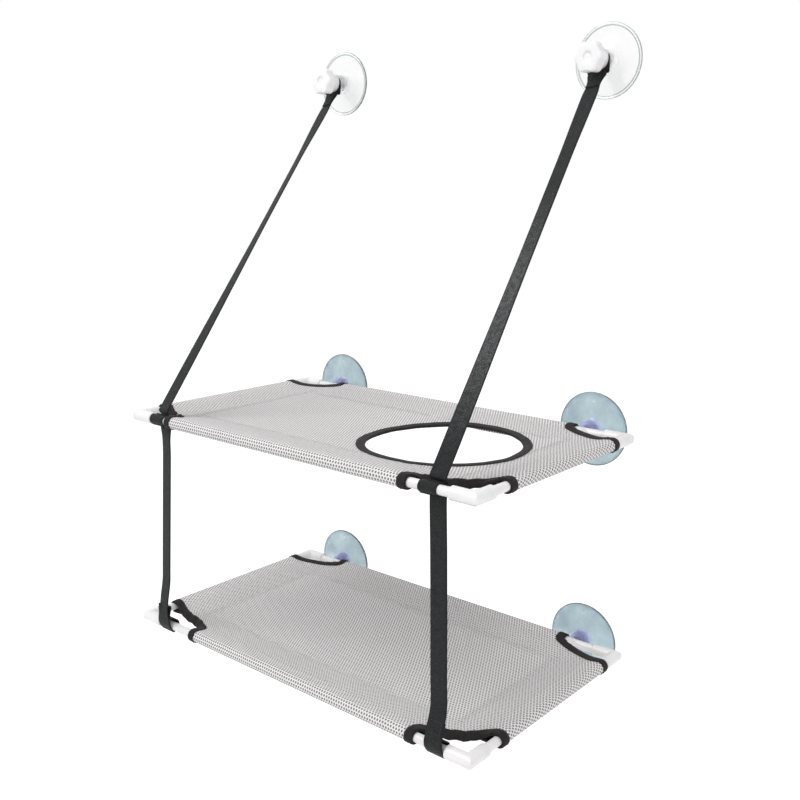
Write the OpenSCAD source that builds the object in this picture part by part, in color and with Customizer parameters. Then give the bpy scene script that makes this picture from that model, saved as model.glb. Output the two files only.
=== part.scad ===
// Two tier cat perch that hangs on a window.
// X runs along the window, +Y points into the glass and +Z is up. The origin lies on the glass,
// midway between the lower suction cups and level with the lower rear tube.

/* [Tiers] */
// Width of a tier over its corner elbows
tier_w = 510; // [470:5:560]
// Depth of a tier over its corner elbows
tier_d = 296; // [270:2:330]
// Height from the lower tier to the upper tier
tier_rise = 258; // [240:2:290]
// Height from the upper tier to the top suction cups
top_rise = 402; // [380:2:440]

/* [Pipe frame] */
// Outer diameter of the pipe
tube_d = 10; // [9:0.5:11]
// Wall of the pipe
tube_wall = 1.5; // [1:0.1:2]
// Outer diameter of an elbow
elbow_d = 14; // [13:0.5:16]
// Length of an elbow's arm, from where the pipe axes cross to the mouth
elbow_arm = 26; // [24:1:30]
// Depth of an elbow's socket
socket_depth = 17; // [12:1:17]
// Bevel round an elbow's mouth
mouth_bevel = 0.8; // [0.3:0.1:1.2]

/* [Suction cups] */
// Diameter of a tier's suction cup
cup_d = 86; // [78:1:92]
// Diameter of a top suction cup
top_cup_d = 79; // [72:1:90]
// Thickness of the skirt near its rim
skirt_t = 2.2; // [1.8:0.1:2.6]
// Thickness of the skirt where it meets the hub
skirt_root_t = 5; // [4:0.2:6]
// Thickness of the bead round the rim
bead_d = 3; // [2.4:0.2:3.6]
// Diameter of the hub
hub_d = 20; // [18:1:24]
// Height of the hub above the glass
hub_h = 16; // [15:0.5:20]
// Height of a top cup's hub above the glass
top_hub_h = 21; // [16:0.5:24]
// Radius of the fillet at the hub's foot
hub_fillet = 5; // [2:0.5:6]
// Radius of the hub's front edge
hub_edge = 1.5; // [0.5:0.5:2]
// Width of the flat band that touches the glass
seal_w = 8; // [5:1:12]
// Depth of the hollow behind the skirt
hollow_h = 2.4; // [1.4:0.2:3]
// Distance of a tier cup's moulded pip from the cup's centre
pip_at = 32; // [26:0.5:34]
// Diameter of the moulded pip
pip_d = 3.2; // [2:0.2:4]
// Gap between a sleeve's end and a tier cup's hub
cup_gap = 9; // [6:1:11]

/* [Studs, nuts and knobs] */
// Diameter of a stud
stud_d = 6; // [5:0.5:7]
// Diameter of the stud's moulded-in head
stud_head_d = 14; // [10:1:14]
// Thickness of the stud's head
stud_head_t = 3; // [2:0.5:3]
// Plastic left behind the stud's head
head_cover = 7; // [6:0.5:8]
// Diameter of a cap nut
nut_d = 13; // [11:0.5:14]
// Height of a cap nut
nut_h = 9; // [8:0.5:11]
// Thread length inside a cap nut
nut_grip = 6; // [4:0.5:6.5]
// Diameter of a top knob over its lobes
knob_d = 33; // [30:1:38]
// Thickness of a top knob's lobed head
knob_head_t = 14; // [11:1:16]
// Lobes round a top knob
knob_lobes = 6; // [5:1:8]
// Radius of one lobe
lobe_r = 5.5; // [5:0.5:6]
// Depth of the hollows between a knob's lobes
lobe_depth = 2; // [1.5:0.5:4]
// Rounding of the knob's edges
knob_edge = 2; // [1:0.5:3]
// Diameter of a top knob's neck
knob_neck_d = 25; // [21:1:26]
// Length of a top knob's neck
knob_neck_t = 9; // [5:1:11]
// Diameter of the dimple in a knob's face
dimple_d = 12; // [8:1:14]
// Depth of the dimple in a knob's face
dimple_h = 1; // [0.5:0.1:1.5]
// Thread length inside a top knob
knob_grip = 14; // [10:1:15]

/* [Mesh panels] */
// Thickness of the spacer mesh
mesh_t = 1.6; // [1.4:0.1:3]
// Distance from a pipe's axis in to the sleeve's seam
seam_in = 47; // [36:1:50]
// Length of a corner cut-out along the front or rear edge
cut_w = 78; // [76:1:88]
// Length of a corner cut-out along a side edge
cut_d = 50; // [44:1:56]
// Diameter of the cat hole
hole_d = 174; // [150:2:184]
// Distance of the cat hole from the tier's centre towards the right
hole_x = 104; // [60:1:108]

/* [Edge tape] */
// Width of the tape on each face
tape_w = 8; // [6:0.5:10]
// Thickness of the tape
tape_t = 0.8; // [0.5:0.1:1]

/* [Straps] */
// Width of the webbing
strap_w = 20; // [18:1:24]
// Thickness of the webbing
strap_t = 1.2; // [0.9:0.1:1.5]
// Distance from an elbow's mouth in to a strap's edge
strap_inset = 5; // [4:1:9]
// Length of webbing sewn double at each end
sewn_len = 30; // [24:1:36]
// Length of an upper strap that lies flat below its stud
eyelet_drop = 14; // [14:1:24]
// Distance of a top cup inward of its strap's lower end
top_cup_in = 14; // [8:1:18]
// Width of the webbing's turn round the upper front tube
wrap_w = 24; // [20:1:26]

/* [Clearances] */
// Running clearance of anything that turns on a pipe or a stud, on the radius
run_gap = 0.05; // [0.02:0.01:0.08]
// Clearance between soft pieces and their neighbours
soft_gap = 0.3; // [0.2:0.05:0.35]
// Clearance between the faces of stacked pieces
face_gap = 0.1; // [0.05:0.05:0.2]
// Clearance of a stud in the pipe's cross hole, on the radius
cross_gap = 0.2; // [0.1:0.05:0.3]

/* [Hidden] */
$fn = 64;
// Longer than any piece is thick, for cuts that run through
cut_over = 100;
TIERS = ["lower", "upper"];
SIDES = ["left", "right"];
CORNERS = ["front_left", "front_right", "rear_left", "rear_right"];
TUBES = ["front", "rear", "left", "right"];

tube_r = tube_d / 2;
elbow_r = elbow_d / 2;
stud_r = stud_d / 2;
hub_r = hub_d / 2;
bead_r = bead_d / 2;
turn_r = tube_r + run_gap;
loop_r = turn_r + strap_t;

// Places of the pipe axes, cups and straps
tube_x = tier_w / 2 - elbow_r;
mouth_x = tube_x - elbow_arm;
rear_y = -(hub_h + face_gap + tube_r);
front_y = rear_y - tier_d + elbow_d;
mid_y = (front_y + rear_y) / 2;
sleeve_end = tier_w / 2 - cut_w;
cup_x = sleeve_end + cup_gap + hub_r;
strap_x = mouth_x - strap_inset - strap_w / 2;
top_cup_x = strap_x - top_cup_in;
top_z = tier_rise + top_rise;
socket_end = elbow_arm - socket_depth;
tube_end = socket_end + face_gap;
nut_seat = hub_h + 2 * face_gap + tube_d;
knob_seat = top_hub_h + 2 * face_gap + 2 * strap_t;

// The cap nut's dome
nut_sides = 6;
nut_dome = nut_d / nut_sides;
dome_r = (pow(nut_d / 2, 2) + pow(nut_dome, 2)) / (2 * nut_dome);

// Sleeves of the mesh panels
sleeve_bore_r = tube_r + soft_gap;
sleeve_r = sleeve_bore_r + mesh_t;
cut_steps = 8;
// Where the two handles of a cut-out's curve lie, as shares of its length and depth
leave_shares = [1, 0.66];
arrive_shares = [0.38, 0.72];
// Radius that rounds an elbow's outer corner, as a share of the elbow's own radius
mitre_share = 1.22;

// Colours
white_plastic = [0.93, 0.93, 0.92];
mesh_grey = [0.76, 0.75, 0.75];
tape_black = [0.11, 0.11, 0.12];
webbing_black = [0.13, 0.14, 0.15];
tinted_vinyl = [0.62, 0.74, 0.78];
clear_vinyl = [0.88, 0.92, 0.91];
steel = [0.72, 0.73, 0.75];

function tier_z(t) = t == "upper" ? tier_rise : 0;
function side_sign(s) = s == "left" ? -1 : 1;
function corner_x(c) = c == "front_left" || c == "rear_left" ? -1 : 1;
function corner_y(c) = c == "front_left" || c == "front_right" ? -1 : 1;

// A point on the smooth curve through a cut-out, at share t of its way
function curve_point(a, b, c, d, t) =
  a * pow(1 - t, 3) + 3 * b * t * pow(1 - t, 2) + 3 * c * t * t * (1 - t) + d * pow(t, 3);

// A cut-out's edge, measured from the tier's outer corner: along the tier's width, then its depth.
// It leaves the front sleeve square, bends round the corner and meets the side sleeve.
cut_edge = let (
  roll = elbow_r + sleeve_r,
  from = [cut_w, roll],
  to = [roll, cut_d],
  leave = [cut_w * leave_shares[0], cut_d * leave_shares[1]],
  arrive = [cut_w * arrive_shares[0], cut_d * arrive_shares[1]]
) [for (i = [0 : cut_steps]) curve_point(from, leave, arrive, to, i / cut_steps)];

function unit(v) = v / norm(v);
function square_to(v) = [v[1], -v[0]];

// The cut-out's edge moved by d into the panel
function cut_edge_moved(d) = [
  for (i = [0 : cut_steps])
    let (
      along = i == 0 ? [0, 1] : i == cut_steps ? [-1, 0] :
        unit(cut_edge[i + 1] - cut_edge[i - 1])
    )
    cut_edge[i] + d * square_to(along)
];

module along_x(len, r) rotate([0, 90, 0]) cylinder(h = len, r = r, center = true);

module along_y(len, r) rotate([90, 0, 0]) cylinder(h = len, r = r, center = true);

// Places children at a corner of a tier, with +X and +Y pointing in along the pipes
module at_corner(c, z)
  translate([corner_x(c) * tube_x, corner_y(c) > 0 ? rear_y : front_y, z])
    mirror([corner_x(c) > 0 ? 1 : 0, 0, 0])
      mirror([0, corner_y(c) > 0 ? 1 : 0, 0])
        children();

// Turns a profile drawn with its radius along X and its height along Y about the axis that
// comes out of the glass
module turned_from_glass() rotate([90, 0, 0]) rotate_extrude() children();

module pipe_x(len) color(white_plastic) difference() {
  along_x(len, tube_r);
  along_x(len + cut_over, tube_r - tube_wall);
}

module front_tube(t)
  translate([0, front_y, tier_z(t)]) pipe_x(2 * (tube_x - tube_end));

// The studs of the two cups pass through this pipe
module rear_tube(t) color(white_plastic) difference() {
  translate([0, rear_y, tier_z(t)]) pipe_x(2 * (tube_x - tube_end));
  for (s = SIDES)
    translate([side_sign(s) * cup_x, rear_y, tier_z(t)]) along_y(elbow_d, stud_r + cross_gap);
}

module side_tube(t, s)
  translate([side_sign(s) * tube_x, mid_y, tier_z(t)])
    rotate([0, 0, 90]) pipe_x(rear_y - front_y - 2 * tube_end);

// An elbow's arm along X, with a bevel round its mouth
module elbow_arm_solid() rotate([0, 90, 0]) rotate_extrude() polygon([
  [0, 0],
  [elbow_r, 0],
  [elbow_r, elbow_arm - mouth_bevel],
  [elbow_r - mouth_bevel, elbow_arm],
  [0, elbow_arm]
]);

module socket_hole() rotate([0, 90, 0]) translate([0, 0, socket_end])
  cylinder(h = socket_depth + cut_over, r = turn_r);

// A pipe elbow with a rounded mitre
module elbow(t, c) at_corner(c, tier_z(t)) color(white_plastic) difference() {
  union() {
    elbow_arm_solid();
    rotate([0, 0, 90]) elbow_arm_solid();
    intersection() {
      along_x(elbow_d, elbow_r);
      along_y(elbow_d, elbow_r);
      cylinder(h = elbow_d, r = elbow_r * mitre_share, center = true);
    }
  }
  socket_hole();
  rotate([0, 0, 90]) socket_hole();
}

// The room that a corner cut-out takes, drawn from where the pipe axes cross; d moves its edge
// into the panel
module cut_out(d) translate([-elbow_r, -elbow_r, -cut_over]) linear_extrude(2 * cut_over)
  polygon(concat(
    [[-cut_over, -cut_over], [cut_w + d, -cut_over]],
    cut_edge_moved(d),
    [[-cut_over, cut_d + d]]
  ));

// Cross section of a sleeve: a roll round the pipe that runs out flat at the seam
module sleeve_section(grow) union() {
  circle(r = sleeve_r + grow);
  polygon([
    [0, sleeve_r + grow],
    [seam_in, mesh_t / 2 + grow],
    [seam_in, -mesh_t / 2 - grow],
    [0, -sleeve_r - grow]
  ]);
}

module sleeve(len, grow)
  rotate([90, 0, 0]) linear_extrude(len, center = true) sleeve_section(grow);

// A mesh panel's solid. grow thickens it on every face but its bores.
module panel_solid(t, grow, with_hole) translate([0, mid_y, tier_z(t)]) {
  depth = rear_y - front_y;
  difference() {
    union() {
      cube([2 * tube_x, depth, mesh_t + 2 * grow], center = true);
      for (m = [0, 1]) mirror([m, 0, 0]) translate([-tube_x, 0, 0]) sleeve(depth, grow);
      for (m = [0, 1]) mirror([0, m, 0]) translate([0, -depth / 2, 0])
        rotate([0, 0, 90]) mirror([0, 1, 0]) sleeve(2 * tube_x, grow);
    }
    for (m = [-1, 1]) {
      translate([m * tube_x, 0, 0]) along_y(depth + cut_over, sleeve_bore_r);
      translate([0, m * depth / 2, 0]) along_x(2 * tube_x + cut_over, sleeve_bore_r);
    }
    translate([0, -mid_y, -tier_z(t)])
      for (c = CORNERS) at_corner(c, tier_z(t)) cut_out(-grow);
    if (with_hole)
      translate([hole_x, 0, 0]) cylinder(h = cut_over, r = hole_d / 2 - grow, center = true);
  }
}

module mesh_panel(t) color(mesh_grey) panel_solid(t, 0, t == "upper");

// Tape folded over a cut-out's edge and round the two sleeve ends
module corner_binding(t, c) color(tape_black) difference() {
  intersection() {
    panel_solid(t, tape_t, false);
    at_corner(c, tier_z(t)) cut_out(tape_w);
  }
  panel_solid(t, face_gap / 2, false);
}

// Tape folded over the edge of the cat hole
module hole_binding() color(tape_black) difference() {
  intersection() {
    panel_solid("upper", tape_t, true);
    translate([hole_x, mid_y, tier_z("upper")])
      cylinder(h = cut_over, r = hole_d / 2 + tape_w, center = true);
  }
  panel_solid("upper", face_gap / 2, true);
}

// Half section of a suction cup of diameter d with a hub of height h: radius along X, height above
// the glass along Y
module cup_section(d, h) difference() {
  bead_at = d / 2 - bead_r;
  union() {
    polygon([
      [0, 0],
      [bead_at, 0],
      [bead_at, skirt_t],
      [hub_r + hub_fillet, skirt_root_t],
      [0, skirt_root_t]
    ]);
    translate([bead_at, bead_r]) circle(r = bead_r);
    difference() {
      square([hub_r + hub_fillet, skirt_root_t + hub_fillet]);
      translate([hub_r + hub_fillet, skirt_root_t + hub_fillet]) circle(r = hub_fillet);
    }
    square([hub_r - hub_edge, h]);
    square([hub_r, h - hub_edge]);
    translate([hub_r - hub_edge, h - hub_edge]) circle(r = hub_edge);
  }
  polygon([
    [0, hollow_h],
    [bead_at - seal_w, 0],
    [bead_at - seal_w, -cut_over],
    [0, -cut_over]
  ]);
  translate([-d, -cut_over]) square([d, 2 * cut_over]);
}

// Half section of a stud up to height end, grown by gap
module stud_section(end, gap) union() {
  translate([0, head_cover - gap]) square([stud_head_d / 2 + gap, stud_head_t + 2 * gap]);
  translate([0, head_cover - gap]) square([stud_r + gap, end - head_cover + gap]);
}

module cup_body(d, h) difference() {
  turned_from_glass() cup_section(d, h);
  turned_from_glass() stud_section(h + cut_over, run_gap);
}

module top_cup(x, z) color(clear_vinyl) translate([x, 0, z]) cup_body(top_cup_d, top_hub_h);

// A tier's cup has a moulded pip above its hub
module tier_cup(x, z) color(tinted_vinyl) translate([x, 0, z]) {
  slope = (skirt_t - skirt_root_t) / (cup_d / 2 - bead_r - hub_r - hub_fillet);
  union() {
    cup_body(cup_d, hub_h);
    translate([0, -skirt_root_t - slope * (pip_at - hub_r - hub_fillet), pip_at]) sphere(d = pip_d);
  }
}

module stud(x, z, end) color(steel) translate([x, 0, z])
  turned_from_glass() stud_section(end, 0);

// The hole that a stud goes into, from the seat of a nut or knob
module blind_thread(grip) rotate([90, 0, 0]) translate([0, 0, -cut_over])
  cylinder(h = cut_over + grip + face_gap, r = stud_r + run_gap);

// Domed cap nut with six sides
module cap_nut(x, z) color(white_plastic) translate([x, -nut_seat, z]) difference() {
  intersection() {
    rotate([90, 0, 0]) cylinder(h = nut_h, d = nut_d, $fn = nut_sides);
    turned_from_glass() union() {
      square([nut_d / 2, nut_h - nut_dome]);
      intersection() {
        translate([0, nut_h - dome_r]) circle(r = dome_r);
        square([nut_d, nut_h]);
      }
    }
  }
  blind_thread(nut_grip);
}

// Knob with lobes for the fingers, a round neck and a blind thread
module knob(x, z) color(white_plastic) translate([x, -knob_seat, z]) difference() {
  union() {
    rotate([90, 0, 0]) cylinder(h = knob_neck_t + knob_edge, d = knob_neck_d);
    intersection() {
      rotate([90, 0, 0]) translate([0, 0, knob_neck_t]) linear_extrude(knob_head_t) union() {
        circle(r = knob_d / 2 - lobe_depth);
        for (i = [0 : knob_lobes - 1])
          rotate(i * 360 / knob_lobes) translate([knob_d / 2 - lobe_r, 0]) circle(r = lobe_r);
      }
      turned_from_glass() translate([0, knob_neck_t]) polygon([
        [0, 0],
        [knob_d / 2 - knob_edge, 0],
        [knob_d / 2, knob_edge],
        [knob_d / 2, knob_head_t - knob_edge],
        [knob_d / 2 - knob_edge, knob_head_t],
        [0, knob_head_t]
      ]);
    }
  }
  blind_thread(knob_grip);
  rotate([90, 0, 0]) translate([0, 0, knob_neck_t + knob_head_t - dimple_h])
    cylinder(h = cut_over, d = dimple_d);
}

// A flat run of webbing in the side view, from a to b, with thickness t
module run(a, b, t) translate(a) rotate(atan2(b[1] - a[1], b[0] - a[0]))
  translate([0, -t / 2]) square([norm(b - a), t]);

// Extrudes a side view, drawn with Y along X and Z along Y, over the webbing's width
module webbing_width() rotate([90, 0, 90]) linear_extrude(strap_w, center = true) children();

// Side view of an upper strap, from its stud: where it bends and where it meets the loop, behind
// the tube
strap_lay = -(top_hub_h + face_gap + strap_t);
bend_at = [strap_lay, -eyelet_drop];
loop_at = [front_y, -top_rise];
meet_r = loop_r + soft_gap + strap_t / 2;
reach = loop_at - bend_at;
meet_angle = atan2(-reach[1], -reach[0]) - acos(meet_r / norm(reach));
meet_at = loop_at + meet_r * [cos(meet_angle), sin(meet_angle)];
// Swing about the stud that takes the strap from the cup out to its place on the tube
strap_swing = atan((strap_x - top_cup_x) / (top_rise - meet_r * sin(meet_angle)));

module upper_strap(s) color(webbing_black)
  translate([side_sign(s) * top_cup_x, 0, top_z]) rotate([0, -side_sign(s) * strap_swing, 0]) difference() {
    union() {
      intersection() {
        webbing_width() translate([strap_lay - strap_t, bend_at[1]])
          square([2 * strap_t, eyelet_drop + strap_w / 2]);
        union() {
          along_y(cut_over, strap_w / 2);
          translate([0, 0, -cut_over / 2]) cube([strap_w, cut_over, cut_over], center = true);
        }
      }
      webbing_width() union() {
        translate(bend_at) circle(r = strap_t);
        run(bend_at, bend_at + sewn_len * unit(meet_at - bend_at), 2 * strap_t);
        run(bend_at, meet_at, strap_t);
      }
    }
    along_y(cut_over, stud_r + cross_gap);
  }

// A lower strap: a turn round the upper front tube, a loop round the lower one and the webbing
// between them. The left turn lies against its elbow, the right one midway to the sleeve.
module lower_strap(s) color(webbing_black) translate([side_sign(s) * strap_x, front_y, 0]) difference() {
  wrap_x = s == "left" ? soft_gap + wrap_w / 2 - mouth_x : (sleeve_end + mouth_x) / 2;
  union() {
    along_x(strap_w, loop_r);
    translate([wrap_x - side_sign(s) * strap_x, 0, tier_rise]) along_x(wrap_w, loop_r);
    webbing_width() union() {
      run([0, 0], [0, tier_rise], strap_t);
      run([0, 0], [0, loop_r + sewn_len], 2 * strap_t);
      run([0, tier_rise - loop_r - sewn_len], [0, tier_rise], 2 * strap_t);
    }
  }
  for (z = [0, tier_rise]) translate([0, 0, z]) along_x(wrap_w + cut_over, turn_r);
}

for (t = TIERS) {
  front_tube(t);
  rear_tube(t);
  mesh_panel(t);
  for (s = SIDES) {
    side_tube(t, s);
    tier_cup(side_sign(s) * cup_x, tier_z(t));
    stud(side_sign(s) * cup_x, tier_z(t), nut_seat + nut_grip);
    cap_nut(side_sign(s) * cup_x, tier_z(t));
  }
  for (c = CORNERS) {
    elbow(t, c);
    corner_binding(t, c);
  }
}
hole_binding();  // upper_hole_binding
for (s = SIDES) {
  top_cup(side_sign(s) * top_cup_x, top_z);
  stud(side_sign(s) * top_cup_x, top_z, knob_seat + knob_grip);
  knob(side_sign(s) * top_cup_x, top_z);
  upper_strap(s);
  lower_strap(s);
}
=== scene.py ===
import bpy
import bmesh
import math
from itertools import accumulate, pairwise
from mathutils import Matrix, Vector, noise


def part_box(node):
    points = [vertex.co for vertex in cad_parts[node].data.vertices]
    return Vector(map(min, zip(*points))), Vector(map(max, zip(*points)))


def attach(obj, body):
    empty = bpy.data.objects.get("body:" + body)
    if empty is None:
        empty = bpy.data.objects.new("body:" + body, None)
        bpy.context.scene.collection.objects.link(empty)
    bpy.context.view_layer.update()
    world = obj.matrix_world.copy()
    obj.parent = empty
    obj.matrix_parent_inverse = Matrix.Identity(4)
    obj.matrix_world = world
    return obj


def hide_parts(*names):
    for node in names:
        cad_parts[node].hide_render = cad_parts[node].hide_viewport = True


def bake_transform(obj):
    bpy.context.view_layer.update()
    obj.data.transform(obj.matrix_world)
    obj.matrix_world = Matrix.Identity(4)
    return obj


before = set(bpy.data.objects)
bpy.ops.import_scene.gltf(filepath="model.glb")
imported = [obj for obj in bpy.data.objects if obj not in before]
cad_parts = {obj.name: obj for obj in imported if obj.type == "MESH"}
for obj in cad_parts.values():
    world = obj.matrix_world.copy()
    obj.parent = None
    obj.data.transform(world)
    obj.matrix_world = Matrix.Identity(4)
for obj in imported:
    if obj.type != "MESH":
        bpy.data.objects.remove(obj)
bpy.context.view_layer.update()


# Places taken from the frame

def middleOf(node):
    low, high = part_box(node)
    return (low + high) / 2


def sizeOf(node):
    low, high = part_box(node)
    return high - low


tiers = ("lower", "upper")
sides = {"left": -1, "right": 1}
corners = {"front_left": (-1, -1), "front_right": (1, -1), "rear_left": (-1, 1), "rear_right": (1, 1)}
tubeX = middleOf("upper_right_tube").x
frontY = middleOf("upper_front_tube").y
rearY = middleOf("upper_rear_tube").y
midY = (frontY + rearY) / 2
halfD = (rearY - frontY) / 2
tierZ = {t: middleOf(t + "_front_tube").z for t in tiers}
tubeR = sizeOf("upper_front_tube").z / 2
elbowR = sizeOf("upper_elbow_front_left").z / 2
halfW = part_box("upper_elbow_front_right")[1].x
cupX = middleOf("upper_right_stud").x
topCupX = middleOf("top_right_stud").x
topZ = middleOf("top_right_stud").z


# Camera

cameraFit = {
    "place": (0.73318, -0.98095, 0.52365),
    "azimuth": 40.19,
    "elevation": 12.027,
    "roll": 0.348,
    "lens": 44.186,
}


def makeCamera(c):
    az, el, roll = (math.radians(c[k]) for k in ("azimuth", "elevation", "roll"))
    back = Vector((math.sin(az) * math.cos(el), -math.cos(az) * math.cos(el), math.sin(el)))
    level = Vector((math.cos(az), math.sin(az), 0))
    rise = back.cross(level)
    right = math.cos(roll) * level + math.sin(roll) * rise
    up = math.cos(roll) * rise - math.sin(roll) * level
    data = bpy.data.cameras.new("camera")
    data.lens = c["lens"]
    data.sensor_width = 36
    data.clip_end = 50
    camera = bpy.data.objects.new("camera", data)
    bpy.context.scene.collection.objects.link(camera)
    camera.matrix_world = Matrix.Translation(c["place"]) @ Matrix((right, up, back)).transposed().to_4x4()
    bpy.context.scene.camera = camera


makeCamera(cameraFit)
print("camera set")


# Shader helpers

# A value in a node tree: its sums, differences, products and shares become math nodes
class Value:
    def __init__(self, tree, socket):
        self.tree, self.socket = tree, socket

    def __add__(self, other):
        return calc("ADD", self, other)

    def __sub__(self, other):
        return calc("SUBTRACT", self, other)

    def __rsub__(self, other):
        return calc("SUBTRACT", other, self)

    def __mul__(self, other):
        return calc("MULTIPLY", self, other)

    def __truediv__(self, other):
        return calc("DIVIDE", self, other)


def feed(tree, node, inputs):
    for name, value in inputs.items():
        if isinstance(value, Value):
            tree.links.new(value.socket, node.inputs[name])
        else:
            node.inputs[name].default_value = value


# Adds a node and returns its outputs, by number and by name
def addNode(tree, kind, inputs=None, **settings):
    node = tree.nodes.new(kind)
    for name, value in settings.items():
        setattr(node, name, value)
    feed(tree, node, inputs or {})
    return {key: Value(tree, socket) for key, socket in (*enumerate(node.outputs), *node.outputs.items())}


def calc(operation, first, second=0.0, third=0.0):
    tree = next(value.tree for value in (first, second, third) if isinstance(value, Value))
    return addNode(tree, "ShaderNodeMath", {0: first, 1: second, 2: third}, operation=operation)[0]


def vectorCalc(operation, first, others=None, output=0):
    return addNode(first.tree, "ShaderNodeVectorMath", {0: first, **(others or {})}, operation=operation)[output]


def blendColours(share, first, second):
    return addNode(share.tree, "ShaderNodeMix", {0: share, 6: first, 7: second}, data_type="RGBA")[2]


def rampOf(value, low, high, fromLow=0.0, fromHigh=1.0, **settings):
    return addNode(value.tree, "ShaderNodeMapRange", {
        "Value": value, "From Min": fromLow, "From Max": fromHigh, "To Min": low, "To Max": high}, **settings)[0]


def noiseOf(place, scale, detail=2.0, roughness=0.5, output=0):
    return addNode(place.tree, "ShaderNodeTexNoise", {
        "Vector": place, "Scale": scale, "Detail": detail, "Roughness": roughness})[output]


def mapped(place, turn, scale=(1.0, 1.0, 1.0)):
    return addNode(place.tree, "ShaderNodeMapping", {"Vector": place, "Rotation": turn, "Scale": scale})[0]


def splitOf(place):
    parts = addNode(place.tree, "ShaderNodeSeparateXYZ", {0: place})
    return parts[0], parts[1], parts[2]


def bumpOf(height, distance, strength=1.0):
    return addNode(height.tree, "ShaderNodeBump", {
        "Strength": strength, "Distance": distance, "Height": height})[0]


# A node group. Its outputs are what build makes of its inputs, and an input without a value is a vector.
def makeGroup(name, build, inputs):
    tree = bpy.data.node_groups.new(name, "ShaderNodeTree")
    for label, value in inputs.items():
        kind = "NodeSocketVector" if value is None else "NodeSocketFloat"
        socket = tree.interface.new_socket(label, in_out="INPUT", socket_type=kind)
        if value is not None:
            socket.default_value = value
    given = tree.nodes.new("NodeGroupInput").outputs
    made = build(*(Value(tree, given[label]) for label in inputs))
    for label in made:
        tree.interface.new_socket(label, in_out="OUTPUT", socket_type="NodeSocketFloat")
    feed(tree, tree.nodes.new("NodeGroupOutput"), made)
    return tree


def placeGroup(group, place, inputs):
    return addNode(place.tree, "ShaderNodeGroup", {"Place": place, **inputs}, node_tree=group)


# Handling marks: soft blotches with fine scuffs, for every hard surface
def handlingMarks(place, blotchScale, scuffScale, scuffShare):
    stretched = mapped(place, (0.4, 0.2, 0.7), (1.0, 0.35, 1.7))
    blotch = noiseOf(place, blotchScale, 3.0, 0.6)
    scuff = noiseOf(stretched, scuffScale, 4.0, 0.7)
    return {"Blotch": rampOf(blotch, 0.0, 1.0, 0.35, 0.65), "Scuff": calc("GREATER_THAN", scuff, 1.0 - scuffShare)}


# Spacer mesh: staggered oval holes in a knitted face, in a place given in metres
def spacerMesh(place, pitchAcross, pitchAlong, holeAcross, holeAlong, edge):
    x, y, z = splitOf(place)
    along = y / pitchAlong
    shift = calc("PINGPONG", calc("FLOOR", along), 1.0) * 0.5
    across = x / pitchAcross + shift
    u, v = (calc("ABSOLUTE", calc("FRACT", value) - 0.5) for value in (across, along))
    far = calc("SQRT", calc("POWER", u / holeAcross, 2.0) + calc("POWER", v / holeAlong, 2.0))
    hole = rampOf(far, 1.0, 0.0, 1.0 - edge, edge + 1.0, interpolation_type="SMOOTHSTEP")
    knit = calc("MULTIPLY_ADD", calc("SINE", across * (4 * math.pi) + v * (5 * math.pi)), 0.5, 0.5)
    return {"Hole": hole, "Knit": knit, "Height": (1.0 - hole) * calc("MULTIPLY_ADD", knit, 0.25, 0.75)}


# Webbing weave: yarns that pass over and under in a zigzag twill, in a place given in metres
def zigzagTwill(place, yarn, turn):
    across, along, out = splitOf(place)
    slant = calc("PINGPONG", across, turn)
    over = rampOf(calc("SINE", (along + slant) / yarn * (math.pi / 2)), 0.0, 1.0, -0.6, 0.6)
    yarnsA, yarnsB = (calc("SINE", value / yarn * (2 * math.pi)) for value in (across, along))
    mixed = yarnsA * over + yarnsB * (1.0 - over)
    return {"Over": over, "Yarns": calc("MULTIPLY_ADD", mixed, 0.5, 0.5)}


handling = makeGroup("handlingMarks", handlingMarks, {
    "Place": None, "Blotch Scale": 30.0, "Scuff Scale": 400.0, "Scuff Share": 0.3})
spacer = makeGroup("spacerMesh", spacerMesh, {
    "Place": None, "Pitch Across": 0.0036, "Pitch Along": 0.0031,
    "Hole Across": 0.30, "Hole Along": 0.38, "Edge": 0.2})
twill = makeGroup("zigzagTwill", zigzagTwill, {"Place": None, "Yarn": 0.0009, "Turn": 0.005})


def objectPlace(tree):
    return addNode(tree, "ShaderNodeTexCoord")["Object"]


def storedPlace(tree):
    return addNode(tree, "ShaderNodeAttribute", attribute_name="place")["Vector"]


def marksOn(place, blotch, scuff, share):
    return placeGroup(handling, place, {"Blotch Scale": blotch, "Scuff Scale": scuff, "Scuff Share": share})


# Moulded plastics

plastics = {
    "pipePlastic": {"light": (0.87, 0.86, 0.86, 1), "dark": (0.79, 0.78, 0.785, 1), "gloss": (0.22, 0.36),
                    "blotch": 38.0, "scuff": 520.0, "coat": 0.35, "wave": 0.00012},
    "knobPlastic": {"light": (0.90, 0.90, 0.895, 1), "dark": (0.84, 0.84, 0.85, 1), "gloss": (0.30, 0.42),
                    "blotch": 60.0, "scuff": 700.0, "coat": 0.15, "wave": 0.00008},
}


def plasticLook(tree, p):
    place = objectPlace(tree)
    marks = marksOn(place, p["blotch"], p["scuff"], 0.30)
    return {
        "Base Color": blendColours(marks["Blotch"], p["light"], p["dark"]),
        "Roughness": calc("MULTIPLY_ADD", marks["Scuff"], 0.14, rampOf(marks["Blotch"], *p["gloss"])),
        "Normal": bumpOf(noiseOf(place, 90.0), p["wave"], 0.35),
        "Coat Weight": p["coat"],
        "Coat Roughness": 0.12,
        "Subsurface Weight": 0.08,
        "Subsurface Scale": 0.002,
    }


# Mesh fabric

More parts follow.
